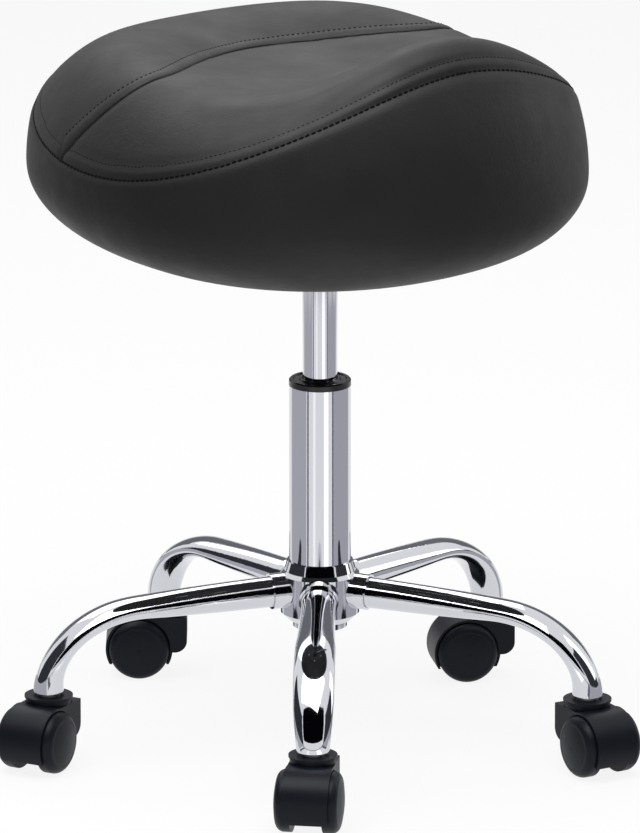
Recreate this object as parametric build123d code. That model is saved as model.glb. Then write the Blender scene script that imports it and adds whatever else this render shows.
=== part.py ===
from build123d import *
from math import asin, atan, cos, pi, radians, sin, tan
import os

# A rolling salon stool: a saddle seat on a gas lift, on a five-legged tube base with twin-wheel casters.
# Millimetres, +Z up, the origin on the floor under the column. The photographed side looks along +Y.

# Base
leg_count = 5
base_turn = 1.4
leg_reach = 227.5
leg_slope = 2.0
leg_wall = 1.6
leg_width = 28.0
leg_thickness = 24.5
bend_run = 80.5
bend_height = 63.5
bend_width = 33.0
bend_thickness = 17.0
bend_lead = 0.85
leg_end_width = 26.6
leg_end_thickness = 24.5
straight_steps = 6
bend_steps = 6
hub_diameter = 64.0
hub_bottom = 103.0
hub_top = 144.0
hub_cone_height = 8.0
hub_cone_lip = 1.6
hub_corner = 6.0
boss_diameter = 44.0
boss_height = 6.0
boss_bore = 36.0
seat_shoulder = 4.0
collar_wall = 1.8
collar_reach = 42.0
collar_grip = 8.0
weld_clearance = 0.25

# Column and gas lift
column_diameter = 50.0
column_wall = 1.5
column_top = 298.0
bush_flange = 5.3
bush_length = 58.0
bush_lip = 0.6
bush_groove = 1.0
cylinder_diameter = 28.0
cylinder_wall = 2.0
cylinder_bottom = 200.0
guide_length = 14.0
rod_diameter = 10.0
rod_spigot = 8.0
piston_depth = 14.0
piston_length = 12.0
seal_width = 3.0
seal_depth = 2.4
end_plate = 4.0
race_thickness = 2.0
race_diameter = 32.0
ball_diameter = 4.5
ball_count = 8
ball_clearance = 0.03
buffer_diameter = 24.0
buffer_height = 6.5
clip_thickness = 1.5
clip_diameter = 18.0
clip_gap = 0.3
rod_tail = 2.0
running_fit = 0.05
close_fit = 0.02
spin_gap = 0.3

# Seat frame and lever
seat_turn = -50.2
seat_bottom = 410.0
cover_thickness = 2.0
cloth_thickness = 0.6
board_thickness = 12.0
hem_width = 20.0
plate_side = 130.0
plate_thickness = 2.5
plate_corner = 14.0
bolt_spacing = 98.0
bolt_diameter = 6.0
bolt_head = 12.0
bolt_head_height = 4.0
tee_nut_flange = 18.0
tee_nut_flange_height = 1.4
tee_nut_barrel = 9.0
socket_length = 29.0
socket_diameter = 38.0
taper_drop = 1.2
taper_length = 17.0
pin_diameter = 8.0
pin_rise = 3.0
pin_length = 28.0
pin_gap = 0.2
lever_diameter = 7.0
lever_pivot = 34.0
lever_kink = 50.0
lever_tip = 1.0
lever_low = 120.0
lever_drop = 10.0
lever_reach = 176.0
lever_bend = 20.0
lever_slot_clearance = 1.2
pivot_pin_diameter = 4.0
ear_thickness = 2.5
ear_width = 16.0
ear_margin = 3.0
lever_side_gap = 0.6
handle_length = 58.0
handle_cover = 30.0
handle_width = 20.0
handle_height = 11.0

# Cushion, seen in its own frame: the front is +X, the sitter's left is +Y
cushion_front = 208.0
cushion_back = 255.0
cushion_half_width = 211.0
outline_power = 2.16
bottom_share = 0.52
widest_height = 63.5
side_lean = 0.115
seam_front = 589.0
seam_back = 534.0
seam_side = 502.0
seam_groove = 1.5
seam_groove_half = 4.0
crest_rise_front = 20.0
crest_rise_back = 38.0
crest_rise_side = 62.0
rear_lobe = 9.5
crest_share_front = 0.86
crest_share_back = 0.64
crest_share_side = 0.70
dish_middle = 553.0
dish_flat_share = 0.10
roll_steps = 4
dish_steps = 6
ring_points = 24
soft_gap = 0.3

# Casters
wheel_diameter = 50.0
wheel_inner = 12.8
wheel_outer = 27.8
tread_width = 6.0
wheel_shoulder = 7.0
dome_rise = 2.2
wheel_rim_depth = 5.0
wheel_dish = 3.0
wheel_boss = 9.0
axle_diameter = 6.0
axle_end = 21.5
caster_trail = 20.0
hood_width = 37.0
hood_thickness = 1.8
hood_gap = 0.8
hood_web = 24.0
hood_rear = 19.5
hood_floor = 12.0
hood_block_bottom = 22.0
hood_block_corner = 10.0
hood_pocket = 19.0
collar_diameter = 37.0
collar_lip = 1.0
collar_lip_height = 1.8
collar_height = 6.0
stem_diameter = 11.0
stem_depth = 24.0
stem_flange = 19.0
stem_grip = 15.0
stem_end_gap = 2.0
socket_wall = 2.0
leg_gap = 0.5
flange_height = 2.5
caster_headings = [-98.7, -59.5, -170.0, 180.0, -118.1]

leg_angles = [-90 - base_turn + 360 / leg_count * index for index in range(leg_count)]

axle_height = wheel_diameter / 2
hood_radius = wheel_diameter / 2 + hood_gap + hood_thickness
collar_bottom = axle_height + wheel_diameter / 2 + hood_gap + hood_thickness / 2
collar_top = collar_bottom + collar_height
leg_end_height = collar_top + flange_height + leg_gap
bend_centre = leg_reach - bend_run
bend_lean = atan(bend_run / bend_height * tan(radians(leg_slope)))
bend_start = bend_centre + bend_run * sin(bend_lean)
bend_start_height = leg_end_height + bend_height * cos(bend_lean)
leg_start = collar_reach - collar_grip + weld_clearance
socket_outside = stem_diameter + 2 * running_fit + 2 * socket_wall
shoulder_height = hub_bottom + seat_shoulder
plate_top = shoulder_height + end_plate
race_middle = plate_top + race_thickness
upper_race_bottom = race_middle + ball_diameter + 2 * ball_clearance
rod_shoulder = upper_race_bottom + race_thickness
column_inside = column_diameter - 2 * column_wall
cylinder_inside = cylinder_diameter - 2 * cylinder_wall
board_bottom = seat_bottom + cover_thickness
board_top = board_bottom + board_thickness
seat_plate_top = board_bottom - cloth_thickness
seat_plate_bottom = seat_plate_top - plate_thickness
socket_bottom = seat_plate_bottom - socket_length
cylinder_top = socket_bottom + taper_length
pin_top = cylinder_top + pin_rise
lever_height = pin_top + pin_gap + lever_diameter / 2

nodes = {}


def lathe(points):
    """A turned piece: a profile of (radius, height) points, spun about the Z axis."""
    outline = Polyline([(radius, 0, height) for radius, height in points], close=True)
    return revolve(make_face(outline), Axis.Z)


def tube(outside, inside, bottom, top):
    """A plain ring or tube on the Z axis."""
    return lathe([
        (inside / 2, bottom),
        (outside / 2, bottom),
        (outside / 2, top),
        (inside / 2, top),
    ])


def disc(diameter, bottom, top):
    """A plain disc or bar on the Z axis."""
    return Pos(0, 0, bottom) * Cylinder(diameter / 2, top - bottom, align=(Align.CENTER, Align.CENTER, Align.MIN))


def block(x_range, y_range, z_range):
    """A box between two corners."""
    size = [high - low for low, high in (x_range, y_range, z_range)]
    corner = Pos(x_range[0], y_range[0], z_range[0])
    return corner * Box(*size, align=(Align.MIN, Align.MIN, Align.MIN))


# Base hub: a turned body with a cone round the column, a boss below and five collars


def leg_height(reach):
    """Height of a leg's straight axis at a distance from the column."""
    return bend_start_height + (bend_start - reach) * tan(radians(leg_slope))


def leg_axis_plane(reach):
    """Section plane of a straight leg, its normal pointing outwards along the tube."""
    heading = (cos(radians(leg_slope)), 0, -sin(radians(leg_slope)))
    return Plane(origin=(reach, 0, leg_height(reach)), x_dir=(0, 1, 0), z_dir=heading)


def base_hub():
    half = hub_diameter / 2
    lip = column_diameter / 2 + hub_cone_lip
    body = lathe([
        (boss_bore / 2, hub_bottom - boss_height),
        (boss_diameter / 2, hub_bottom - boss_height),
        (boss_diameter / 2, hub_bottom),
        (half - hub_corner, hub_bottom),
        (half, hub_bottom + hub_corner),
        (half, hub_top - hub_corner / 2),
        (half - hub_corner / 2, hub_top),
        (lip, hub_top + hub_cone_height),
        (column_diameter / 2 + close_fit, hub_top + hub_cone_height),
        (column_diameter / 2 + close_fit, shoulder_height),
        (boss_bore / 2, shoulder_height),
    ])
    half_width = leg_width / 2 + weld_clearance
    half_height = leg_thickness / 2 + weld_clearance
    hole = Ellipse(half_width, half_height)
    wall = Ellipse(half_width + collar_wall, half_height + collar_wall)
    root = column_diameter / 2 + close_fit + collar_wall
    grip = collar_reach - collar_grip
    for angle in leg_angles:
        collar = extrude(leg_axis_plane(root) * wall, collar_reach - root)
        bore = extrude(leg_axis_plane(grip) * hole, collar_grip * 2)
        body = body + Rot(0, 0, angle) * collar
        body = body - Rot(0, 0, angle) * bore
    return body - disc(column_diameter + 2 * close_fit, shoulder_height, hub_top + hub_cone_height)


nodes["base_hub"] = base_hub()

# Legs: oval tube at the hub, pressed flatter towards the bend, round again over the caster


def leg_section(plane, flatness, end_share, inset):
    """Oval section: flatness 0 is the plain tube, 1 the flattest place in the bend."""
    width = leg_width + (leg_end_width - leg_width) * end_share
    thickness = leg_thickness + (leg_end_thickness - leg_thickness) * end_share
    width = width + (bend_width - width) * flatness
    thickness = thickness + (bend_thickness - thickness) * flatness
    return (plane * Ellipse(width / 2 - inset, thickness / 2 - inset)).face().outer_wire()


def bend_press(share):
    """How flat the tube is at a share of its bend: flattest in the middle, not at all at the end."""
    rise = sin(pi * share)
    return bend_lead + (1 - bend_lead) * rise if share < 0.5 else rise


def leg_sections(inset, last_bend_step):
    """Sections from the collar along the straight tube and down the bend, a quarter of an ellipse."""
    sections = []
    for step in range(straight_steps):
        share = step / straight_steps
        reach = leg_start + (bend_start - leg_start) * share
        sections.append(leg_section(leg_axis_plane(reach), bend_lead * share ** 2, 0, inset))
    for step in range(last_bend_step + 1):
        share = step / bend_steps
        turn = bend_lean + (pi / 2 - bend_lean) * share
        middle = (bend_centre + bend_run * sin(turn), 0, leg_end_height + bend_height * cos(turn))
        heading = (bend_run * cos(turn), 0, -bend_height * sin(turn))
        plane = Plane(origin=middle, x_dir=(0, 1, 0), z_dir=heading)
        sections.append(leg_section(plane, bend_press(share), share, inset))
    return sections


def leg():
    socket_room = disc(socket_outside + 2 * close_fit, leg_end_height, leg_end_height + stem_grip)
    hollow = Solid.make_loft(leg_sections(leg_wall, bend_steps // 2))
    outside = Solid.make_loft(leg_sections(0, bend_steps))
    return outside - hollow - Pos(leg_reach, 0, 0) * socket_room


one_leg = leg()
for index, angle in enumerate(leg_angles):
    nodes[f"leg_{index + 1}"] = Rot(0, 0, angle) * one_leg


def round_the_base(piece):
    return [Rot(0, 0, angle) * Pos(leg_reach, 0, 0) * piece for angle in leg_angles]


one_socket = tube(
    socket_outside,
    stem_diameter + 2 * running_fit,
    leg_end_height,
    leg_end_height + stem_grip,
)
nodes["caster_sockets"] = Compound(round_the_base(one_socket))

# Column: outer tube, plastic bush on top, end plate with the thrust bearing below

nodes["column_tube"] = tube(column_diameter, column_inside, shoulder_height, column_top)
flange_top = column_top + bush_flange
bore = cylinder_diameter / 2 + running_fit
rim = column_diameter / 2
nodes["column_bush"] = lathe([
    (bore, column_top - bush_length),
    (column_inside / 2 - close_fit, column_top - bush_length),
    (column_inside / 2 - close_fit, column_top),
    (rim, column_top),
    (rim, flange_top - bush_groove),
    (rim - bush_groove, flange_top),
    (rim - 3 * bush_groove, flange_top),
    (rim - 4 * bush_groove, flange_top - bush_groove),
    (bore + 3 * bush_groove, flange_top - bush_groove),
    (bore + 2 * bush_groove, flange_top + bush_lip),
    (bore + bush_groove / 2, flange_top + bush_lip),
    (bore, flange_top - bush_groove),
])
spigot_hole = rod_spigot + 2 * spin_gap
nodes["column_end_plate"] = tube(column_inside - 2 * close_fit, spigot_hole, shoulder_height, plate_top)
nodes["thrust_race_lower"] = tube(race_diameter, spigot_hole, plate_top, race_middle)
ball_height = race_middle + ball_clearance + ball_diameter / 2
ball_circle = (race_diameter + rod_diameter) / 4
ball = Pos(ball_circle, 0, ball_height) * Sphere(ball_diameter / 2)
nodes["thrust_balls"] = Compound([Rot(0, 0, 360 / ball_count * index) * ball for index in range(ball_count)])

# Piston: it turns with the seat on the bearing and stays down when the seat lifts

piston_bottom = column_top - piston_depth
piston_top = piston_bottom + piston_length
clip_top = shoulder_height - clip_gap
clip_bottom = clip_top - clip_thickness
rod_bottom = clip_bottom - rod_tail
nodes["piston_rod"] = lathe([
    (0, rod_bottom),
    (rod_spigot / 2, rod_bottom),
    (rod_spigot / 2, rod_shoulder),
    (rod_diameter / 2, rod_shoulder),
    (rod_diameter / 2, piston_top),
    (0, piston_top),
])
piston_radius = cylinder_inside / 2 - running_fit
seal_bottom = piston_bottom + (piston_length - seal_width) / 2
seal_top = seal_bottom + seal_width
nodes["piston_head"] = lathe([
    (rod_diameter / 2 + close_fit, piston_bottom),
    (piston_radius, piston_bottom),
    (piston_radius, seal_bottom),
    (piston_radius - seal_depth, seal_bottom),
    (piston_radius - seal_depth, seal_top),
    (piston_radius, seal_top),
    (piston_radius, piston_top),
    (rod_diameter / 2 + close_fit, piston_top),
])
nodes["piston_seal"] = tube(
    2 * piston_radius,
    2 * (piston_radius - seal_depth + close_fit),
    seal_bottom,
    seal_top,
)
nodes["thrust_race_upper"] = tube(
    race_diameter,
    rod_spigot + 2 * close_fit,
    upper_race_bottom,
    rod_shoulder,
)
nodes["rod_buffer"] = tube(
    buffer_diameter,
    rod_diameter + 2 * close_fit,
    rod_shoulder,
    rod_shoulder + buffer_height,
)
nodes["rod_clip"] = tube(clip_diameter, rod_spigot + 2 * close_fit, clip_bottom, clip_top)

# Gas cylinder: chrome tube with a tapered head that jams in the seat's socket

taper_top = cylinder_diameter / 2 - taper_drop
pin_hole = pin_diameter / 2 + running_fit
head_bottom = cylinder_top - taper_length - cylinder_wall
nodes["gas_cylinder"] = lathe([
    (cylinder_inside / 2, cylinder_bottom),
    (cylinder_diameter / 2, cylinder_bottom),
    (cylinder_diameter / 2, socket_bottom),
    (taper_top, cylinder_top),
    (pin_hole, cylinder_top),
    (pin_hole, head_bottom),
    (cylinder_inside / 2, head_bottom),
])
nodes["cylinder_guide"] = tube(
    cylinder_inside - 2 * close_fit,
    rod_diameter + 2 * running_fit,
    cylinder_bottom,
    cylinder_bottom + guide_length,
)

# Seat frame: taper socket welded to a pressed plate, bolted to the board


def on_seat(piece):
    """Turn a piece from the seat's own frame to its place over the base."""
    return Rot(0, 0, seat_turn) * piece


lever_slot_half = lever_diameter / 2 + lever_slot_clearance
lever_slot = block(
    (-lever_slot_half, lever_slot_half),
    (0, socket_diameter),
    (cylinder_top, seat_plate_bottom),
)
taper_socket = lathe([
    (cylinder_diameter / 2 + close_fit, socket_bottom),
    (socket_diameter / 2, socket_bottom),
    (socket_diameter / 2, seat_plate_bottom),
    (taper_top + close_fit, seat_plate_bottom),
    (taper_top + close_fit, cylinder_top),
])
nodes["taper_socket"] = on_seat(taper_socket - lever_slot)

bolt_places = GridLocations(bolt_spacing, bolt_spacing, 2, 2)
plate_outline = RectangleRounded(plate_side, plate_side, plate_corner)
plate = Pos(0, 0, seat_plate_bottom) * extrude(plate_outline, plate_thickness)
for place in bolt_places:
    plate = plate - place * disc(bolt_diameter + 2 * spin_gap, seat_plate_bottom, seat_plate_top)
nodes["seat_plate"] = on_seat(plate)


def mix(angle, front, back, side):
    """A size that runs smoothly from the front of the seat round its sides to its back."""
    ends = (front + back) / 2
    sway = (front - back) / 2
    return (ends + side) / 2 + sway * cos(angle) + (ends - side) / 2 * cos(2 * angle)


def outline_radius(angle):
    """Plan radius of the cushion: a full oval, longer behind the column than in front."""
    length = cushion_front if cos(angle) > 0 else cushion_back
    along = abs(cos(angle)) / length
    across = abs(sin(angle)) / cushion_half_width
    return (along ** outline_power + across ** outline_power) ** (-1 / outline_power)


widest = seat_bottom + widest_height


def side_radius(angle, height):
    """Plan radius above the widest line, where the sides lean in."""
    return outline_radius(angle) * (1 - side_lean * ((height - widest) / 100) ** 2)


def seam_height(angle):
    return mix(angle, seam_front, seam_back, seam_side)


def seam_radius(angle):
    return side_radius(angle, seam_height(angle))


def crest_rise(angle):
    """Height of the crest over the seam, fullest in the two lobes behind the sitter's thighs."""
    lobe = rear_lobe * (cos(3 * angle) - cos(angle))
    return mix(angle, crest_rise_front, crest_rise_back, crest_rise_side) + lobe


def crest_share(angle):
    """Where the crest lies, as a share of the way from the middle of the seat to the seam."""
    return mix(angle, crest_share_front, crest_share_back, crest_share_side)


def ring(radius, height):
    """A closed curve round the seat, from a radius and a height for each direction."""
    angles = [2 * pi * index / ring_points for index in range(ring_points)]
    points = [Vector(radius(t) * cos(t), radius(t) * sin(t), height(t)) for t in angles]
    return Wire([Edge.make_spline(points, periodic=True)])


def flank_ring(turn, inset):
    """A ring on the rounded lower side, from the flat underside at 0 to the widest line at 90."""
    spread = bottom_share + (1 - bottom_share) * sin(radians(turn))
    drop = (widest_height - inset) * cos(radians(turn))
    return ring(lambda t: outline_radius(t) * spread - inset, lambda t: widest - drop)


def side_ring(share, inset):
    """A ring on the leaning upper side, from the widest line at 0 to the seam at 1."""

    def height(angle):
        return widest + (seam_height(angle) - seam_groove_half - widest) * share

    return ring(lambda t: side_radius(t, height(t)) - inset, height)


def roll_ring(way, inset):
    """A ring on the rolled edge, from just above the seam at 0 to the crest at 1."""
    out = 1 - way
    up = 1 - out ** 2
    shift = seam_groove_half * out
    return ring(
        lambda t: seam_radius(t) * (crest_share(t) + (1 - crest_share(t)) * out) - inset * out,
        lambda t: seam_height(t) + shift + (crest_rise(t) - shift) * up - inset * up,
    )


def dish_ring(way, inset):
    """A ring on the dished top, from the crest at 1 down to the flat middle at 0."""
    fall = way ** 3 * (4 - 3 * way)

    def height(angle):
        crest = seam_height(angle) + crest_rise(angle)
        return dish_middle + (crest - dish_middle) * fall - inset

    return ring(lambda t: seam_radius(t) * (dish_flat_share + (crest_share(t) - dish_flat_share) * way), height)


def cushion(inset):
    """The padded saddle: drawn-in flanks, a seam channel, a rolled crest and a dished top."""
    rings = [flank_ring(turn, inset) for turn in (0, 25, 50, 70, 90)]
    rings = rings + [side_ring(share, inset) for share in (0.5, 1.0)]
    rings.append(ring(lambda t: seam_radius(t) - seam_groove - inset, seam_height))
    rings = rings + [roll_ring(step / roll_steps, inset) for step in range(roll_steps + 1)]
    rings = rings + [dish_ring(1 - step / dish_steps, inset) for step in range(1, dish_steps + 1)]
    return Solid.make_loft(rings, ruled=True)


def oval(inset, bottom, top):
    """A flat slab with the outline of the cushion's underside."""
    edge = ring(lambda t: outline_radius(t) * bottom_share - inset, lambda t: bottom)
    return extrude(Face(edge), top - bottom, dir=(0, 0, 1))


board_inset = cover_thickness + soft_gap
opening_inset = cover_thickness + hem_width
board = oval(board_inset, board_bottom, board_top)
for place in bolt_places:
    board = board - place * disc(tee_nut_barrel + 2 * spin_gap, board_bottom, board_top)
nodes["seat_board"] = on_seat(board)

cover = cushion(0) - cushion(cover_thickness)
cover = cover - oval(opening_inset, seat_bottom, board_bottom)
nodes["seat_cover"] = on_seat(cover)

foam = cushion(cover_thickness + soft_gap)
nut_room = tee_nut_flange_height + spin_gap
below_board = oval(-cushion_half_width, seat_bottom, board_top)
foam = foam - below_board
for place in bolt_places:
    foam = foam - place * disc(tee_nut_flange + 2 * spin_gap, board_top, board_top + nut_room)
nodes["seat_foam"] = on_seat(foam)

cloth = oval(opening_inset + soft_gap, seat_plate_top, board_bottom)
for place in bolt_places:
    cloth = cloth - place * disc(bolt_diameter + 2 * spin_gap, seat_plate_top, board_bottom)
nodes["underside_cloth"] = on_seat(cloth)

bolt_tip = board_top - spin_gap
bolt = disc(bolt_head, seat_plate_bottom - bolt_head_height, seat_plate_bottom)
bolt = bolt + disc(bolt_diameter, seat_plate_bottom, bolt_tip)
nodes["plate_bolts"] = Compound([on_seat(place * bolt) for place in bolt_places])

tee_nut = tube(tee_nut_barrel, bolt_diameter + 2 * close_fit, board_bottom + cover_thickness, board_top)
tee_nut = tee_nut + tube(
    tee_nut_flange,
    bolt_diameter + 2 * close_fit,
    board_top,
    board_top + tee_nut_flange_height,
)
nodes["tee_nuts"] = Compound([on_seat(place * tee_nut) for place in bolt_places])

# Lift lever: a bent rod on a cross pin, its inner tip over the release pin, out under the sitter's left

ear_inside = lever_diameter / 2 + lever_side_gap
ear_drop = lever_height - pivot_pin_diameter / 2 - ear_margin
ear_half = ear_width / 2
ear_back = (lever_pivot - ear_half, lever_pivot + ear_half)
bracket = block(
    (ear_inside, ear_inside + ear_thickness),
    ear_back,
    (ear_drop, seat_plate_bottom),
)
bracket = bracket + mirror(bracket, Plane.YZ)
pivot_axis = Pos(0, lever_pivot, lever_height) * Rot(0, 90, 0)
pivot_half = ear_inside + ear_thickness
bracket = bracket - pivot_axis * Cylinder(pivot_pin_diameter / 2 + close_fit, 2 * pivot_half)
nodes["lever_bracket"] = on_seat(bracket)
nodes["lever_pivot_pin"] = on_seat(pivot_axis * Cylinder(pivot_pin_diameter / 2, 2 * pivot_half))

lever_path = FilletPolyline(
    (0, -lever_tip, lever_height),
    (0, lever_kink, lever_height),
    (0, lever_low, lever_height - lever_drop),
    (0, lever_reach, lever_height - lever_drop),
    radius=lever_bend,
)
lever_start = Plane(origin=lever_path @ 0, z_dir=lever_path % 0)
lever = sweep(lever_start * Circle(lever_diameter / 2), path=lever_path)
lever = lever - pivot_axis * Cylinder(pivot_pin_diameter / 2 + running_fit, lever_diameter * 2)
nodes["lift_lever"] = on_seat(lever)

handle_start = lever_reach - handle_cover
handle_outline = Rectangle(handle_width, handle_height)
handle_outline = fillet(handle_outline.vertices(), handle_height * 0.45)
handle_plane = Plane(
    origin=(0, handle_start, lever_height - lever_drop),
    x_dir=(1, 0, 0),
    z_dir=(0, 1, 0),
)
handle = extrude(handle_plane * handle_outline, handle_length)
handle = chamfer(handle.faces().sort_by(Axis.Y)[-1].edges(), handle_height * 0.2)
lever_room = handle_plane * Pos(0, 0, handle_cover / 2)
handle = handle - lever_room * Cylinder(lever_diameter / 2 + close_fit, handle_cover)
nodes["lever_handle"] = on_seat(handle)

nodes["release_pin"] = disc(pin_diameter, pin_top - pin_length, pin_top)

# Casters: a hood on a stem, with two domed wheels on one axle behind it


def caster_wheel():
    """A wheel about its own Z axis, z counted outwards from the caster's middle."""
    radius = wheel_diameter / 2
    shoulder = wheel_inner + tread_width
    face = wheel_outer - dome_rise
    bore_radius = axle_diameter / 2 + running_fit
    bore_end = axle_end + spin_gap
    outline = Polyline(
        (bore_radius, 0, wheel_inner),
        (wheel_boss, 0, wheel_inner),
        (wheel_boss, 0, wheel_inner + wheel_dish),
        (radius - wheel_rim_depth, 0, wheel_inner + wheel_dish),
        (radius - wheel_rim_depth, 0, wheel_inner),
        (radius, 0, wheel_inner),
        (radius, 0, shoulder),
    )
    dome_edge = radius - wheel_shoulder
    half = sin(pi / 4)
    side = ThreePointArc(
        (radius, 0, shoulder),
        (dome_edge + wheel_shoulder * half, 0, shoulder + (face - shoulder) * half),
        (dome_edge, 0, face),
    )
    dome_radius = (dome_edge ** 2 + dome_rise ** 2) / (2 * dome_rise)
    half_turn = asin(dome_edge / dome_radius) / 2
    dome = ThreePointArc(
        (dome_edge, 0, face),
        (dome_radius * sin(half_turn), 0, wheel_outer - dome_radius * (1 - cos(half_turn))),
        (0, 0, wheel_outer),
    )
    bore = Polyline(
        (0, 0, wheel_outer),
        (0, 0, bore_end),
        (bore_radius, 0, bore_end),
        (bore_radius, 0, wheel_inner),
    )
    return revolve(make_face(outline.edges() + [side, dome] + bore.edges()), Axis.Z)


def caster_hood():
    """The hood in the caster's frame: the stem on Z, the axle behind it along Y."""
    round_part = Pos(caster_trail, axle_height) * Circle(hood_radius)
    block_height = collar_bottom - hood_block_bottom
    stem_block = Pos(-hood_rear, hood_block_bottom) * Rectangle(
        hood_rear + caster_trail, block_height, align=(Align.MIN, Align.MIN)
    )
    low_corner = stem_block.vertices().group_by(Axis.Y)[0].sort_by(Axis.X)[0]
    stem_block = fillet(low_corner, hood_block_corner)
    side = round_part + stem_block
    ground = Pos(caster_trail, hood_floor) * Rectangle(
        4 * hood_radius, 2 * hood_radius, align=(Align.CENTER, Align.MAX)
    )
    side = side - ground
    upright = Plane(origin=(0, hood_width / 2, 0), x_dir=(1, 0, 0), z_dir=(0, -1, 0))
    shell = extrude(upright * side, hood_width)
    collar = disc(collar_diameter, collar_bottom - hood_thickness, collar_top)
    collar = collar + disc(collar_diameter + 2 * collar_lip, collar_top - collar_lip_height, collar_top)
    shell = shell + collar
    axle_line = Pos(caster_trail, 0, axle_height) * Rot(90, 0, 0)
    wheel_room = wheel_diameter / 2 + hood_gap
    cheek = (hood_width - hood_web) / 2
    for way in (-1, 1):
        middle = way * (hood_web + cheek) / 2
        shell = shell - Pos(0, middle, 0) * axle_line * Cylinder(wheel_room, cheek)
    shell = shell - axle_line * Cylinder(axle_diameter / 2 + close_fit, hood_web)
    pocket = axle_line * Cylinder(hood_radius - 2 * hood_thickness, hood_pocket)
    pocket = pocket - axle_line * Cylinder(wheel_boss, hood_pocket)
    stem_wall = stem_diameter / 2 + 2 * hood_thickness
    pocket = pocket - block((-hood_radius, stem_wall), (-hood_web, hood_web), (0, 4 * hood_radius))
    shell = shell - pocket
    stem_room = disc(stem_diameter + 2 * close_fit, collar_top - stem_depth, collar_top)
    return shell - stem_room


def caster_stem():
    stem = disc(stem_diameter, collar_top - stem_depth, leg_end_height + stem_grip - stem_end_gap)
    return stem + disc(stem_flange, collar_top, collar_top + flange_height)


one_hood = caster_hood()
one_stem = caster_stem()
one_wheel = caster_wheel()
axle_frame = Pos(caster_trail, 0, axle_height)
one_axle = axle_frame * Rot(90, 0, 0) * Cylinder(axle_diameter / 2, 2 * axle_end)
caster_pieces = {
    "hood": one_hood,
    "stem": one_stem,
    "axle": one_axle,
    "wheel_left": axle_frame * Rot(-90, 0, 0) * one_wheel,
    "wheel_right": axle_frame * Rot(90, 0, 0) * one_wheel,
}
for index, angle in enumerate(leg_angles):
    place = Rot(0, 0, angle) * Pos(leg_reach, 0, 0) * Rot(0, 0, caster_headings[index] - angle)
    for name, piece in caster_pieces.items():
        nodes[f"caster_{index + 1}_{name}"] = place * piece

os.makedirs("parts", exist_ok=True)
for name, shape in nodes.items():
    export_step(shape, f"parts/{name}.step")
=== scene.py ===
import math
import bmesh
import bpy
from mathutils import Matrix, Vector, kdtree
from mathutils.bvhtree import BVHTree


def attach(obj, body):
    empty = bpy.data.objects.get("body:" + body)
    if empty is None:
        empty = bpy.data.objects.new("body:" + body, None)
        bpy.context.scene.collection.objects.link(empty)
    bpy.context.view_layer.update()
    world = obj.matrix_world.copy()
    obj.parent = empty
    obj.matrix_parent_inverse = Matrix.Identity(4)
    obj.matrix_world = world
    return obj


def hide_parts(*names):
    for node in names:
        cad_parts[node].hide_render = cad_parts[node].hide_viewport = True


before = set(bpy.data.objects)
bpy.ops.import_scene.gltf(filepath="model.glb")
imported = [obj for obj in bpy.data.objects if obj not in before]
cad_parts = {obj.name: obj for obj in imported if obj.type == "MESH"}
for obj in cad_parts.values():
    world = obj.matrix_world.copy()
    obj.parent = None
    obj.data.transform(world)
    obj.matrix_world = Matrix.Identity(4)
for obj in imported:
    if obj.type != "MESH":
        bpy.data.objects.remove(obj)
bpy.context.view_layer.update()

# Base: a cast hub with five collars and five bent steel tubes pushed into them and welded.
# All of it is polished and chrome plated together, so hub and legs share one mirror finish.
# The tubes are pressed flat through their bends and end round over the casters.


def linear(hex_colour):
    """An sRGB hex colour as the linear RGBA that a shader takes."""
    parts = [int(hex_colour[place:place + 2], 16) / 255 for place in (0, 2, 4)]
    light = [part / 12.92 if part <= 0.04045 else ((part + 0.055) / 1.055) ** 2.4 for part in parts]
    return (*light, 1.0)


def add(tree, kind, settings, **feeds):
    """One shader node with its settings and the sockets that feed its inputs."""
    node = tree.nodes.new(kind)
    for name, value in settings.items():
        if name in node.inputs:
            node.inputs[name].default_value = value
        else:
            setattr(node, name, value)
    for name, socket in feeds.items():
        tree.links.new(socket, node.inputs[name])
    return node


def finish_named(name, colour, roughness, metallic=0.0):
    """A new finish whose shader starts from one colour and one roughness."""
    finish = bpy.data.materials.new(name)
    finish.use_nodes = True
    shader = finish.node_tree.nodes["Principled BSDF"]
    shader.inputs["Base Color"].default_value = linear(colour)
    shader.inputs["Roughness"].default_value = roughness
    shader.inputs["Metallic"].default_value = metallic
    return finish, finish.node_tree, shader


def dress(finish, *names):
    """Puts a finish on CAD pieces that keep their own shape."""
    for name in names:
        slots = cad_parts[name].data.materials
        slots.clear()
        slots.append(finish)


# Chromium over polished steel: a cool mirror, with faint polishing swirls that soften it in places.
polish_swirl_mm = 45.5
chrome, tree, shader = finish_named("chrome_plate", "d2d3d9", 0.06, 1.0)
place = add(tree, "ShaderNodeTexCoord", {})
swirl = add(tree, "ShaderNodeTexNoise", {"Scale": 1000 / polish_swirl_mm, "Detail": 3.0},
            Vector=place.outputs["Object"])
polish = add(tree, "ShaderNodeMapRange", {"From Min": 0.35, "From Max": 0.7, "To Min": 0.035, "To Max": 0.1},
             Value=swirl.outputs["Fac"])
tree.links.new(polish.outputs["Result"], shader.inputs["Roughness"])
dress(chrome, "base_hub", *[f"leg_{number}" for number in range(1, 6)])

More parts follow.
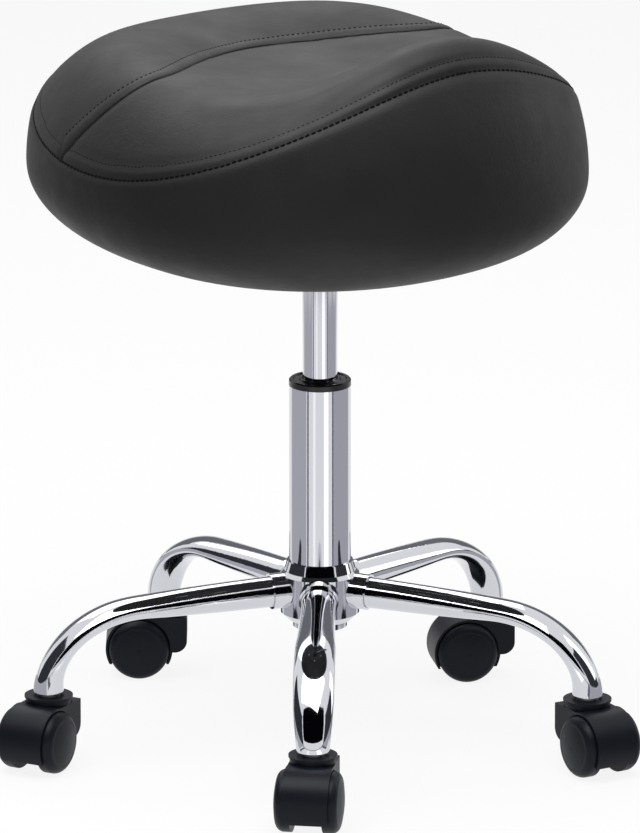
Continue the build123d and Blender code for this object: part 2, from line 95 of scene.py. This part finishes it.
# Casters: a moulded hood on a steel stem, with two domed wheels on one steel axle.
# Hood and wheels are black nylon straight from the mould, with a dull even bloom.
# Each stem snaps into a plastic socket that is pressed into the end of its leg.
mould_grain_mm = 0.4 * 3  # three times as coarse as the real grain, so that it shows
mould_bloom_mm = 16.7
nylon, tree, shader = finish_named("black_nylon", "0e111b", 0.42)
shader.inputs["IOR"].default_value = 1.53
shader.inputs["Specular IOR Level"].default_value = 0.16
place = add(tree, "ShaderNodeTexCoord", {})
grain = add(tree, "ShaderNodeTexNoise", {"Scale": 1000 / mould_grain_mm, "Detail": 2.0},
            Vector=place.outputs["Object"])
bloom = add(tree, "ShaderNodeTexNoise", {"Scale": 1000 / mould_bloom_mm, "Detail": 3.0},
            Vector=place.outputs["Object"])
dull = add(tree, "ShaderNodeMapRange", {"To Min": 0.36, "To Max": 0.5}, Value=bloom.outputs["Fac"])
grain_bump = add(tree, "ShaderNodeBump", {"Strength": 0.12, "Distance": 0.0004}, Height=grain.outputs["Fac"])
tree.links.new(dull.outputs["Result"], shader.inputs["Roughness"])
tree.links.new(grain_bump.outputs["Normal"], shader.inputs["Normal"])

# Zinc plate over drawn steel: a grey half gloss, cloudy where the bath left it uneven.
zinc_cloud_mm = 4.2
zinc, tree, shader = finish_named("zinc_plated_steel", "a9abad", 0.34, 1.0)
place = add(tree, "ShaderNodeTexCoord", {})
cloud = add(tree, "ShaderNodeTexNoise", {"Scale": 1000 / zinc_cloud_mm, "Detail": 2.0},
            Vector=place.outputs["Object"])
dull = add(tree, "ShaderNodeMapRange", {"To Min": 0.26, "To Max": 0.44}, Value=cloud.outputs["Fac"])
tree.links.new(dull.outputs["Result"], shader.inputs["Roughness"])

for number in range(1, 6):
    dress(nylon, f"caster_{number}_hood", f"caster_{number}_wheel_left", f"caster_{number}_wheel_right")
    dress(zinc, f"caster_{number}_stem", f"caster_{number}_axle")
dress(nylon, "caster_sockets")

# Column: a chrome tube that stands in the hub, and the chrome gas cylinder that slides in it.
# A black bush pressed into the tube's top guides the cylinder.
# It is turned from acetal, so it is smoother than the casters.
dress(chrome, "column_tube", "gas_cylinder")
turning_mark_mm = 6.7
acetal, tree, shader = finish_named("black_acetal", "0f1013", 0.3)
place = add(tree, "ShaderNodeTexCoord", {})
turning = add(tree, "ShaderNodeTexNoise", {"Scale": 1000 / turning_mark_mm, "Detail": 2.0},
              Vector=place.outputs["Object"])
dull = add(tree, "ShaderNodeMapRange", {"To Min": 0.24, "To Max": 0.38}, Value=turning.outputs["Fac"])
tree.links.new(dull.outputs["Result"], shader.inputs["Roughness"])
dress(acetal, "column_bush")

# Inside the column: a piston on a rod that stands on a thrust bearing, held under the end plate by a clip.
# These are plain plated steel, with an acetal guide and rubber rings, and they never see daylight.
dress(zinc, "column_end_plate", "thrust_race_lower", "thrust_race_upper", "thrust_balls")
dress(zinc, "piston_rod", "rod_clip")
dress(acetal, "piston_head", "cylinder_guide")

# Moulded rubber: a dull black with a chalky bloom in patches.
chalk_patch_mm = 11
rubber, tree, shader = finish_named("black_rubber", "17171a", 0.7)
place = add(tree, "ShaderNodeTexCoord", {})
chalk = add(tree, "ShaderNodeTexNoise", {"Scale": 1000 / chalk_patch_mm, "Detail": 4.0},
            Vector=place.outputs["Object"])
dull = add(tree, "ShaderNodeMapRange", {"To Min": 0.6, "To Max": 0.85}, Value=chalk.outputs["Fac"])
tree.links.new(dull.outputs["Result"], shader.inputs["Roughness"])
dress(rubber, "piston_seal", "rod_buffer")

# Seat frame: a pressed plate with a taper socket and lever ears, powder coated black.
# It is bolted through a woven lining to a plywood board.
orange_peel_mm = 1.0
powder, tree, shader = finish_named("black_powder_coat", "141416", 0.5)
place = add(tree, "ShaderNodeTexCoord", {})
peel = add(tree, "ShaderNodeTexNoise", {"Scale": 1000 / orange_peel_mm, "Detail": 1.0},
           Vector=place.outputs["Object"])
peel_bump = add(tree, "ShaderNodeBump", {"Strength": 0.25, "Distance": 0.0005}, Height=peel.outputs["Fac"])
tree.links.new(peel_bump.outputs["Normal"], shader.inputs["Normal"])
dress(powder, "seat_plate", "taper_socket", "lever_bracket")
dress(zinc, "plate_bolts", "tee_nuts", "lever_pivot_pin", "release_pin")

# Birch plywood: pale and dark plies by turns, 1.3 mm thick, seen on the cut edge.
ply_mm = 1.3
wave_repeat = math.pi / 10  # metres from band to band in a wave of scale 1
plywood, tree, shader = finish_named("birch_plywood", "b8905e", 0.6)
place = add(tree, "ShaderNodeTexCoord", {})
plies = add(tree, "ShaderNodeTexWave",
            {"Scale": 1000 * wave_repeat / (2 * ply_mm), "Distortion": 1.5, "bands_direction": "Z"},
            Vector=place.outputs["Object"])
tone = add(tree, "ShaderNodeMix", {"data_type": "RGBA", "A": linear("c9a26c"), "B": linear("94693d")},
           Factor=plies.outputs["Fac"])
tree.links.new(tone.outputs["Result"], shader.inputs["Base Color"])
dress(plywood, "seat_board")

# Woven lining: matt black threads 0.5 mm apart, drawn twice as coarse so that they show.
lining_thread_mm = 0.5 * 2
lining, tree, shader = finish_named("woven_lining", "1a1a1b", 0.9)
place = add(tree, "ShaderNodeTexCoord", {})
weave = add(tree, "ShaderNodeTexChecker", {"Scale": 1000 / lining_thread_mm}, Vector=place.outputs["Object"])
weave_bump = add(tree, "ShaderNodeBump", {"Strength": 0.3, "Distance": 0.0003}, Height=weave.outputs["Fac"])
tree.links.new(weave_bump.outputs["Normal"], shader.inputs["Normal"])
dress(lining, "underside_cloth")

# Lift lever: a bent steel rod with a flat plastic paddle, under the sitter's left side.
# Lifting the paddle presses the release pin in the head of the gas cylinder.
dress(zinc, "lift_lever")
dress(nylon, "lever_handle")

# Cushion: moulded foam on the board, in a sewn leatherette cover pulled tight and stapled underneath.
# A side band meets the top along a low saddle seam, and a crescent panel crosses the back of the top.
# The cover is inflated as cloth between its seams, which are pinned, and the seams are drawn in after.
seat_turn = math.radians(-50.2)
seat_bottom = 0.410
hem_opening = 0.022
outline_front = 0.208
outline_back = 0.255
outline_half_width = 0.211
outline_power = 2.16
bottom_share = 0.52
flank_height = 0.0635
widest = seat_bottom + flank_height
side_lean = 0.115
lean_span = 0.1
# These three run from the front to the back to the sides.
seam_heights = (0.589, 0.534, 0.502)
crest_rises = (0.020, 0.038, 0.062)
crest_shares = (0.86, 0.64, 0.70)
rear_lobe = 0.0095
dish_middle = 0.553
dish_flat_share = 0.10
seat_columns = 192


def mix(angle, front, back, side):
    """A size that runs smoothly from the front of the seat round its sides to its back."""
    ends = (front + back) / 2
    level = (ends + side) / 2 + (front - back) / 2 * math.cos(angle)
    return level + (ends - side) / 2 * math.cos(2 * angle)


def outline_radius(angle):
    """Reach of the seat at its widest, a rounded oval that is longer behind than in front."""
    length = outline_front if math.cos(angle) > 0 else outline_back
    along = abs(math.cos(angle)) / length
    across = abs(math.sin(angle)) / outline_half_width
    return (along ** outline_power + across ** outline_power) ** (-1 / outline_power)


def seam_height(angle):
    return mix(angle, *seam_heights)


def crest_rise(angle):
    lobe = rear_lobe * (math.cos(3 * angle) - math.cos(angle))
    return mix(angle, *crest_rises) + lobe


def crest_share(angle):
    return mix(angle, *crest_shares)


def side_radius(angle, height):
    return outline_radius(angle) * (1 - side_lean * ((height - widest) / lean_span) ** 2)


def seam_radius(angle):
    return side_radius(angle, seam_height(angle))


# Each form gives the radius and the height of the cover at a share of the way up that stretch of it.
def hem(angle, share):
    return outline_radius(angle) * bottom_share - hem_opening * (1 - share), seat_bottom


def flank(angle, share):
    turn = math.pi / 2 * share
    spread = bottom_share + (1 - bottom_share) * math.sin(turn)
    return outline_radius(angle) * spread, widest - (widest - seat_bottom) * math.cos(turn)


def side(angle, share):
    height = widest + (seam_height(angle) - widest) * share
    return side_radius(angle, height), height


def roll(angle, share):
    out = 1 - share
    reach = crest_share(angle) + (1 - crest_share(angle)) * out
    return seam_radius(angle) * reach, seam_height(angle) + crest_rise(angle) * (1 - out ** 2)


def dish(angle, share):
    way = 1 - share
    fall = way ** 3 * (4 - 3 * way)
    crest = seam_height(angle) + crest_rise(angle)
    reach = crest_share(angle) + (dish_flat_share - crest_share(angle)) * share
    return seam_radius(angle) * reach, dish_middle + (crest - dish_middle) * fall


def lay_ring(verts, form, share):
    """Lays a ring of the cover out on one of the forms above."""
    for vert in verts:
        angle = math.atan2(vert.co.y, vert.co.x)
        radius, height = form(angle, share)
        vert.co = (radius * math.cos(angle), radius * math.sin(angle), height)


# The rings run from the hem up to the middle of the dish, and lie closest at the seam.
cover = bmesh.new()
bmesh.ops.create_circle(cover, cap_ends=True, segments=seat_columns, radius=1.0)
lay_ring(cover.verts, hem, 0.0)
loop = cover.edges[:]
stations = [(hem, 1.0)]
stations += [(flank, step / 14) for step in range(1, 15)]
stations += [(side, step / 8) for step in range(1, 8)] + [(side, 0.95), (side, 1.0)]
seam_station = len(stations) - 1
stations += [(roll, 0.03), (roll, 0.08)] + [(roll, step / 12) for step in range(2, 13)]
stations += [(dish, step / 22) for step in range(1, 23)]
for number, (form, share) in enumerate(stations):
    grown = bmesh.ops.extrude_edge_only(cover, edges=loop)["geom"]
    loop = [item for item in grown if isinstance(item, bmesh.types.BMEdge)]
    ring = [item for item in grown if isinstance(item, bmesh.types.BMVert)]
    lay_ring(ring, form, share)
    if number == seam_station:
        seam_verts = ring
middle = bmesh.ops.extrude_edge_only(cover, edges=loop)["geom"]
middle = [item for item in middle if isinstance(item, bmesh.types.BMVert)]
bmesh.ops.pointmerge(cover, verts=middle, merge_co=(0, 0, dish_middle))
bmesh.ops.recalc_face_normals(cover, faces=cover.faces)


def crescent(across):
    """Plan place of the crescent seam, from one side of the seat to the other."""
    share = across / crescent_unit
    bow = crescent_sweep * share ** 2 - crescent_flatten * share ** 4
    return Vector((crescent_middle + crescent_skew * share + bow, across, 0))


def tree_of(points):
    """A search tree that finds the nearest point of a line."""
    found = kdtree.KDTree(len(points))
    for number, point in enumerate(points):
        found.insert(point, number)
    found.balance()
    return found


crescent_unit = 0.1
crescent_middle = -0.0923
crescent_skew = 0.003
crescent_sweep = 0.0640
crescent_flatten = 0.0154
crescent_right, crescent_left = -0.198, 0.1995
crescent_steps = 320
crescent_run = [crescent_right + (crescent_left - crescent_right) * step / crescent_steps
                for step in range(crescent_steps + 1)]
crescent_plan = [crescent(across) for across in crescent_run]
crescent_tree = tree_of(crescent_plan)

# The thread holds the cover down along both seams, and staples hold it underneath.
pin_reach = 0.004
facing_up = 0.3
cover.verts.ensure_lookup_table()
cover.verts.index_update()
pinned = {vert.index for vert in seam_verts}
for vert in cover.verts:
    if vert.co.z < seat_bottom + pin_reach:
        pinned.add(vert.index)
    elif vert.normal.z > facing_up and vert.co.z > widest:
        if crescent_tree.find((vert.co.x, vert.co.y, 0))[2] < pin_reach:
            pinned.add(vert.index)
cover_mesh = bpy.data.meshes.new("seat_cover_skin")
cover.to_mesh(cover_mesh)
cover.free()
seat_skin = bpy.data.objects.new("seat_skin", cover_mesh)
bpy.context.scene.collection.objects.link(seat_skin)

swell_most = 0.005
inflate_frames = 15
smoothing_passes = 12
seams = seat_skin.vertex_groups.new(name="seams")
seams.add(sorted(pinned), 1.0, "REPLACE")
inflate = seat_skin.modifiers.new("inflate", "CLOTH")
inflate.settings.quality = 5
inflate.settings.mass = 0.3
inflate.settings.use_pressure = True
inflate.settings.uniform_pressure_force = 5.0
inflate.settings.vertex_group_mass = "seams"
inflate.settings.effector_weights.gravity = 0.0
inflate.settings.tension_stiffness = 20
inflate.settings.compression_stiffness = 20
inflate.settings.bending_stiffness = 2.0
inflate.collision_settings.use_collision = False
for step in range(1, inflate_frames + 1):
    bpy.context.scene.frame_set(step)
blown = seat_skin.evaluated_get(bpy.context.evaluated_depsgraph_get()).to_mesh()
outward = [vert.normal.copy() for vert in cover_mesh.vertices]
swell = []
for vert, puffed, out in zip(cover_mesh.vertices, blown.vertices, outward):
    rise = (puffed.co - vert.co).dot(out)
    swell.append(max(-swell_most, min(swell_most, rise)))
beside = [[] for _ in swell]
for edge in cover_mesh.edges:
    first, second = edge.vertices
    beside[first].append(second)
    beside[second].append(first)
for _ in range(smoothing_passes):
    level = [sum(swell[other] for other in others) / len(others) for others in beside]
    swell = [rise if number in pinned else (rise + around) / 2
             for number, (rise, around) in enumerate(zip(swell, level))]
for vert, rise, out in zip(cover_mesh.vertices, swell, outward):
    vert.co = vert.co + out * rise
seat_skin.evaluated_get(bpy.context.evaluated_depsgraph_get()).to_mesh_clear()
seat_skin.modifiers.remove(inflate)
seat_skin.vertex_groups.clear()
bpy.context.scene.frame_set(1)

# The tight cover is rounded once more, then each seam is drawn in where the thread pulls it down.
rounding = seat_skin.modifiers.new("rounding", "SUBSURF")
rounding.levels = 1
rounding.render_levels = 1
rounded = bpy.data.meshes.new_from_object(seat_skin.evaluated_get(bpy.context.evaluated_depsgraph_get()))
seat_skin.modifiers.remove(rounding)
seat_skin.data = rounded

surface = BVHTree.FromObject(seat_skin, bpy.context.evaluated_depsgraph_get())


def on_cover(point):
    """The nearest place on the cover, and the way out of it."""
    place, normal, _, _ = surface.find_nearest(point)
    return place, normal


seam_steps = 1200
edge_stitch_offset = 0.011
edge_seam = []
edge_stitch = []
for step in range(seam_steps):
    angle = 2 * math.pi * step / seam_steps
    radius, height = roll(angle, 0.0)
    edge_seam.append(Vector((radius * math.cos(angle), radius * math.sin(angle), height)))
    low = Vector((radius, height))
    share = 0.0
    while (Vector(roll(angle, share)) - low).length < edge_stitch_offset:
        share += 0.01
    radius, height = roll(angle, share)
    edge_stitch.append(Vector((radius * math.cos(angle), radius * math.sin(angle), height)))


def over_seat(plan, rise=0.0):
    """A place in plan, raised to the top of the seat and a little way off it."""
    place, normal, _, _ = surface.ray_cast(Vector((plan.x, plan.y, above_seat)), Vector((0, 0, -1)))
    return place + normal * rise


def behind_crescent(number, distance):
    """A place in plan beside the crescent seam, on the side of the crescent panel."""
    last = len(crescent_plan) - 1
    along = crescent_plan[min(number + 1, last)] - crescent_plan[max(number - 1, 0)]
    return crescent_plan[number] + Vector((-along.y, along.x, 0)).normalized() * distance


above_seat = 0.7
crescent_stitch_offset = 0.0088
crescent_seam = [over_seat(spot) for spot in crescent_plan]
crescent_stitch = [over_seat(behind_crescent(number, crescent_stitch_offset))
                   for number in range(crescent_steps + 1)]

# Each line with the depth that it is drawn in and how far that spreads to each side.
draws = [
    (tree_of(edge_seam), 0.0018, 0.004),
    (tree_of(edge_stitch), 0.0009, 0.0035),
    (tree_of(crescent_seam), 0.0016, 0.004),
]
normals = [vert.normal.copy() for vert in rounded.vertices]
for vert, normal in zip(rounded.vertices, normals):
    sink = sum(depth * math.exp(-(line.find(vert.co)[2] / spread) ** 2) for line, depth, spread in draws)
    vert.co = vert.co - normal * sink
rounded.polygons.foreach_set("use_smooth", [True] * len(rounded.polygons))
surface = BVHTree.FromObject(seat_skin, bpy.context.evaluated_depsgraph_get())

# Vinyl-coated leatherette: a soft black satin, with soft creases that vary its gloss and a pebble grain
# of about 1 mm, drawn twice as coarse so that it shows.
pebble_mm = 1.0 * 2
crease_mm = 38.5
leatherette, tree, shader = finish_named("black_leatherette", "121213", 0.5)
shader.inputs["Specular IOR Level"].default_value = 0.34
shader.inputs["Sheen Weight"].default_value = 0.03
shader.inputs["Sheen Roughness"].default_value = 0.4
place = add(tree, "ShaderNodeTexCoord", {})
pebble = add(tree, "ShaderNodeTexVoronoi", {"Scale": 1000 / pebble_mm}, Vector=place.outputs["Object"])
crease = add(tree, "ShaderNodeTexNoise", {"Scale": 1000 / crease_mm, "Detail": 5.0, "Roughness": 0.6},
             Vector=place.outputs["Object"])
dull = add(tree, "ShaderNodeMapRange", {"From Min": 0.3, "From Max": 0.7, "To Min": 0.5, "To Max": 0.62},
           Value=crease.outputs["Fac"])
pebble_bump = add(tree, "ShaderNodeBump", {"Strength": 0.12, "Distance": 0.0005},
                  Height=pebble.outputs["Distance"])
crease_bump = add(tree, "ShaderNodeBump", {"Strength": 0.18, "Distance": 0.004},
                  Height=crease.outputs["Fac"], Normal=pebble_bump.outputs["Normal"])
tree.links.new(dull.outputs["Result"], shader.inputs["Roughness"])
tree.links.new(crease_bump.outputs["Normal"], shader.inputs["Normal"])
rounded.materials.clear()
rounded.materials.append(leatherette)

# Fold: the edge of the leatherette crescent panel, turned under along its seam and topstitched.
# It is twice as thick as the cover there, so it stands a little proud and sinks again past the stitches.
# Both its edges lie under the cover.
fold_profile = [  # distance behind the seam and rise off the cover
    (-0.0007, -0.0012),
    (-0.0005, 0.0009),
    (0.0006, 0.0015),
    (0.0040, 0.0014),
    (crescent_stitch_offset, 0.0004),
    (0.0120, -0.0012),
]
fold = bmesh.new()
bmesh.ops.create_grid(fold, x_segments=crescent_steps, y_segments=len(fold_profile) - 1, size=1.0)
for vert in fold.verts:
    number = round((vert.co.x + 1) / 2 * crescent_steps)
    distance, rise = fold_profile[round((vert.co.y + 1) / 2 * (len(fold_profile) - 1))]
    vert.co = over_seat(behind_crescent(number, distance), rise)
fold.normal_update()
if sum(face.normal.z for face in fold.faces) < 0:
    bmesh.ops.reverse_faces(fold, faces=fold.faces)
for face in fold.faces:
    face.smooth = True
fold_mesh = bpy.data.meshes.new("seat_fold")
fold.to_mesh(fold_mesh)
fold.free()
fold_mesh.materials.append(leatherette)
seat_fold = bpy.data.objects.new("seat_fold", fold_mesh)
bpy.context.scene.collection.objects.link(seat_fold)

# Stitching: bonded black polyester thread that sews the panels together and holds their edges down.
# It shows as a dark line in each seam and as a row of separate stitches beside it. Along the crescent that
# dark line is partly painted shade: the beads there run unbroken at the foot of the fold and stand for the
# shadow gap under the fold's edge, as well as for the seam's thread.
# Its plies come round every 0.8 mm.
thread_twist_mm = 0.8
bead_flatness = 0.7
thread, tree, shader = finish_named("black_thread", "060607", 0.8)
shader.inputs["Specular IOR Level"].default_value = 0.1
place = add(tree, "ShaderNodeTexCoord", {})
twist = add(tree, "ShaderNodeTexWave", {"Scale": 1000 * wave_repeat / thread_twist_mm},
            Vector=place.outputs["Object"])
twist_bump = add(tree, "ShaderNodeBump", {"Strength": 0.4, "Distance": 0.0003}, Height=twist.outputs["Fac"])
tree.links.new(twist_bump.outputs["Normal"], shader.inputs["Normal"])


def every(points, spacing, closed):
    """The same line with its points one stitch apart."""
    line = points + points[:1] if closed else points
    spaced = [line[0]]
    left = spacing
    for here, there in zip(line, line[1:]):
        run = (there - here).length
        way = left
        while way <= run:
            spaced.append(here.lerp(there, way / run))
            way += spacing
        left = way - run
    return spaced


def sew(stitches, line, closed, spacing, length, width, proud=0.0):
    """Adds one flattened bead of thread for each stitch along a line."""
    points = every(line, spacing, closed)
    count = len(points)
    size = Matrix.Diagonal((length, width, width * bead_flatness, 1.0))
    for number in range(count if closed else count - 1):
        here, there = points[number], points[(number + 1) % count]
        spot, out = on_cover((here + there) / 2)
        along = (there - here).normalized()
        across = out.cross(along).normalized()
        turned = Matrix((along, across, out)).transposed().to_4x4()
        bmesh.ops.create_icosphere(stitches, subdivisions=1, radius=0.5,
                                   matrix=Matrix.Translation(spot + out * proud) @ turned @ size)


stitching = bmesh.new()
sew(stitching, edge_seam, True, spacing=0.0052, length=0.0050, width=0.0022)
sew(stitching, edge_stitch, True, spacing=0.0042, length=0.0026, width=0.0009)
sew(stitching, crescent_stitch, False, spacing=0.0042, length=0.0028, width=0.0010, proud=0.0005)
# Painted shade as well as thread: these beads overlap into one unbroken black line at the foot of the fold,
# standing for the shadow gap under its edge.
sew(stitching, crescent_seam, False, spacing=0.0040, length=0.0060, width=0.0020)
stitch_mesh = bpy.data.meshes.new("seat_stitching_and_seam_shade")
stitching.to_mesh(stitch_mesh)
stitching.free()
stitch_mesh.materials.append(thread)
seat_stitching_and_seam_shade = bpy.data.objects.new("seat_stitching_and_seam_shade", stitch_mesh)
bpy.context.scene.collection.objects.link(seat_stitching_and_seam_shade)

for piece in (seat_skin, seat_fold, seat_stitching_and_seam_shade):
    piece.data.transform(Matrix.Rotation(seat_turn, 4, "Z"))
    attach(piece, "seat")
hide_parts("seat_cover", "seat_foam")

# Studio: a white paper floor that runs out of sight under a white surround.
# Large soft lamps stand above it, behind it and to the right.
# Cards and strips that only reflections show give the plating the bands of a photographer's tent.


def plainly_seen(tree):
    """1 where a thing is seen, also in a reflection or through glass, and 0 where it only lights."""
    sight = add(tree, "ShaderNodeLightPath", {})
    seen = add(tree, "ShaderNodeMath", {"operation": "MAXIMUM"}, Value=sight.outputs["Is Camera Ray"])
    tree.links.new(sight.outputs["Is Glossy Ray"], seen.inputs[1])
    through = add(tree, "ShaderNodeMath", {"operation": "MAXIMUM"}, Value=seen.outputs["Value"])
    tree.links.new(sight.outputs["Is Transmission Ray"], through.inputs[1])
    return through.outputs["Value"]


floor_half = 60.0
floor_glow_share = 0.88  # the rest is the paper itself, which keeps the shadow
floor_mesh = bpy.data.meshes.new("floor")
ground = bmesh.new()
bmesh.ops.create_grid(ground, x_segments=1, y_segments=1, size=floor_half)
ground.to_mesh(floor_mesh)
ground.free()
floor = bpy.data.objects.new("floor", floor_mesh)
bpy.context.scene.collection.objects.link(floor)
paper, tree, shader = finish_named("white_paper", "f4f4f4", 0.9)
glow = add(tree, "ShaderNodeEmission", {"Color": linear("ffffff"), "Strength": 1.0})
share = add(tree, "ShaderNodeMapRange", {"To Max": floor_glow_share}, Value=plainly_seen(tree))
blend = add(tree, "ShaderNodeMixShader", {}, Fac=share.outputs["Result"])
tree.links.new(shader.outputs["BSDF"], blend.inputs[1])
tree.links.new(glow.outputs["Emission"], blend.inputs[2])
tree.links.new(blend.outputs["Shader"], tree.nodes["Material Output"].inputs["Surface"])
floor_mesh.materials.append(paper)

world = bpy.data.worlds.new("studio")
bpy.context.scene.world = world
world.use_nodes = True
tree = world.node_tree
tree.nodes.clear()
fill = add(tree, "ShaderNodeBackground", {"Color": linear("ffffff"), "Strength": 0.2})
white = add(tree, "ShaderNodeBackground", {"Color": linear("ffffff"), "Strength": 1.0})
blend = add(tree, "ShaderNodeMixShader", {}, Fac=plainly_seen(tree))
tree.links.new(fill.outputs["Background"], blend.inputs[1])
tree.links.new(white.outputs["Background"], blend.inputs[2])
add(tree, "ShaderNodeOutputWorld", {}, Surface=blend.outputs["Shader"])


def softbox(name, place, aim, size, watts):
    """A soft lamp that the camera doesn't see."""
    lamp = bpy.data.lights.new(name, "AREA")
    lamp.shape = "RECTANGLE"
    lamp.size, lamp.size_y = size
    lamp.energy = watts
    box = bpy.data.objects.new(name, lamp)
    box.location = place
    box.rotation_euler = (Vector(aim) - Vector(place)).to_track_quat("-Z", "Y").to_euler()
    box.visible_camera = False
    bpy.context.scene.collection.objects.link(box)


softbox("overhead_box", (-0.2, -0.5, 2.3), (0, 0, 0.45), (2.4, 2.0), 60)
softbox("back_box", (-0.4, 2.0, 2.0), (0, 0, 0.5), (2.4, 1.4), 16)
softbox("right_box", (2.0, 0.6, 1.0), (0, 0, 0.4), (0.7, 1.5), 7)


def glossy_card(name, shape, tone, strength=1.0):
    """A card of an even tone that only a reflection shows."""
    sheet = bpy.data.meshes.new(name)
    shape.to_mesh(sheet)
    shape.free()
    card = bpy.data.objects.new(name, sheet)
    bpy.context.scene.collection.objects.link(card)
    matt, tree, _ = finish_named(name, "000000", 1.0)
    glow = add(tree, "ShaderNodeEmission", {"Color": linear(tone), "Strength": strength})
    tree.links.new(glow.outputs["Emission"], tree.nodes["Material Output"].inputs["Surface"])
    sheet.materials.append(matt)
    card.visible_camera = False
    card.visible_diffuse = False
    card.visible_shadow = False
    return tree


def flag(name, place, aim, size, tone):
    """A card that stands up and faces the stool."""
    board = bmesh.new()
    bmesh.ops.create_grid(board, x_segments=1, y_segments=1, size=0.5)
    bmesh.ops.scale(board, vec=(size[0], size[1], 1), verts=board.verts)
    turn = (Vector(aim) - Vector(place)).to_track_quat("-Z", "Y").to_matrix().to_4x4()
    bmesh.ops.transform(board, matrix=Matrix.Translation(place) @ turn, verts=board.verts)
    glossy_card(name, board, tone)


flag("front_card", (0.0, -2.2, 1.85), (0, 0, 1.85), (5.0, 2.8), "060608")
flag("back_card", (0.0, 3.2, 0.95), (0, 0, 0.95), (5.6, 1.5), "74747a")
flag("left_card", (-2.6, -0.3, 1.1), (0, -0.3, 1.1), (3.4, 2.2), "38383e")
flag("right_card", (2.8, -0.3, 1.1), (0, -0.3, 1.1), (3.4, 2.2), "38383e")

strip_near, strip_far = 0.34, 1.46


def strip(name, heading, spread, tone, strength=1.0, height=0.003):
    """A card on the floor, fanned out from the stool at a heading from the camera."""
    fan = bmesh.new()
    bmesh.ops.create_grid(fan, x_segments=1, y_segments=1, size=1.0)
    for vert in fan.verts:
        reach = (strip_near + strip_far) / 2 + (strip_far - strip_near) / 2 * vert.co.x
        angle = math.radians(heading - 90 + spread / 2 * vert.co.y)
        vert.co = (reach * math.cos(angle), reach * math.sin(angle), height)
    glossy_card(name, fan, tone, strength)


# In reflections the floor falls into half shade away from the stool.
shade_start, shade_end, shade_edge = 1.2, 2.0, 4.08
shade_left = 0.3
shade_height = 0.001
border = bmesh.new()
bmesh.ops.create_circle(border, segments=48, radius=shade_start)
outer = bmesh.ops.extrude_edge_only(border, edges=border.edges[:])["geom"]
outer = [item for item in outer if isinstance(item, bmesh.types.BMVert)]
bmesh.ops.scale(border, vec=(shade_edge / shade_start, shade_edge / shade_start, 1), verts=outer)
bmesh.ops.translate(border, vec=(0, 0, shade_height), verts=border.verts)
tree = glossy_card("floor_falloff", border, "ffffff")
place = add(tree, "ShaderNodeTexCoord", {})
away = add(tree, "ShaderNodeVectorMath", {"operation": "LENGTH"}, Vector=place.outputs["Object"])
shade = add(tree, "ShaderNodeMapRange",
            {"From Min": shade_start, "From Max": shade_end, "To Min": 1.0, "To Max": shade_left},
            Value=away.outputs["Value"])
tree.links.new(shade.outputs["Result"], tree.nodes["Emission"].inputs["Strength"])

# White strips in front lie under the bright and dark ones that draw the bands on the column.
for heading in (-35, 0, 35):
    strip(f"front_white_strip_{heading}", heading, 36, "ffffff", height=0.002)
strip("right_bright_strip", 23, 16, "ffffff", strength=1.7)
strip("left_bright_strip", -21, 9, "ffffff", strength=1.3)
strip("right_dark_strip", 48, 6, "6c6c76")
strip("left_dark_strip", -45, 6, "6c6c76")
for heading in (71, 109):
    strip(f"right_grey_strip_{heading}", heading, 39, "b6b6bc")
    strip(f"left_grey_strip_{heading}", -heading, 39, "bebec4")

# Camera: a long lens on a tall stand well back from the stool, looking down a little over the seat,
# as the photograph was taken.
pitch = math.radians(16.3)
tilt = math.radians(15.557)
distance = 9.0
aim_height = 0.150
lens = bpy.data.cameras.new("camera")
lens.sensor_width = 36.0
lens.lens = 481.9
lens.clip_end = 200
camera = bpy.data.objects.new("camera", lens)
camera.location = (0, -distance * math.cos(pitch), aim_height + distance * math.sin(pitch))
camera.rotation_euler = (math.pi / 2 - tilt, 0, 0)
bpy.context.scene.collection.objects.link(camera)
bpy.context.scene.camera = camera
bpy.context.scene.view_settings.view_transform = "Standard"

bpy.context.view_layer.update()
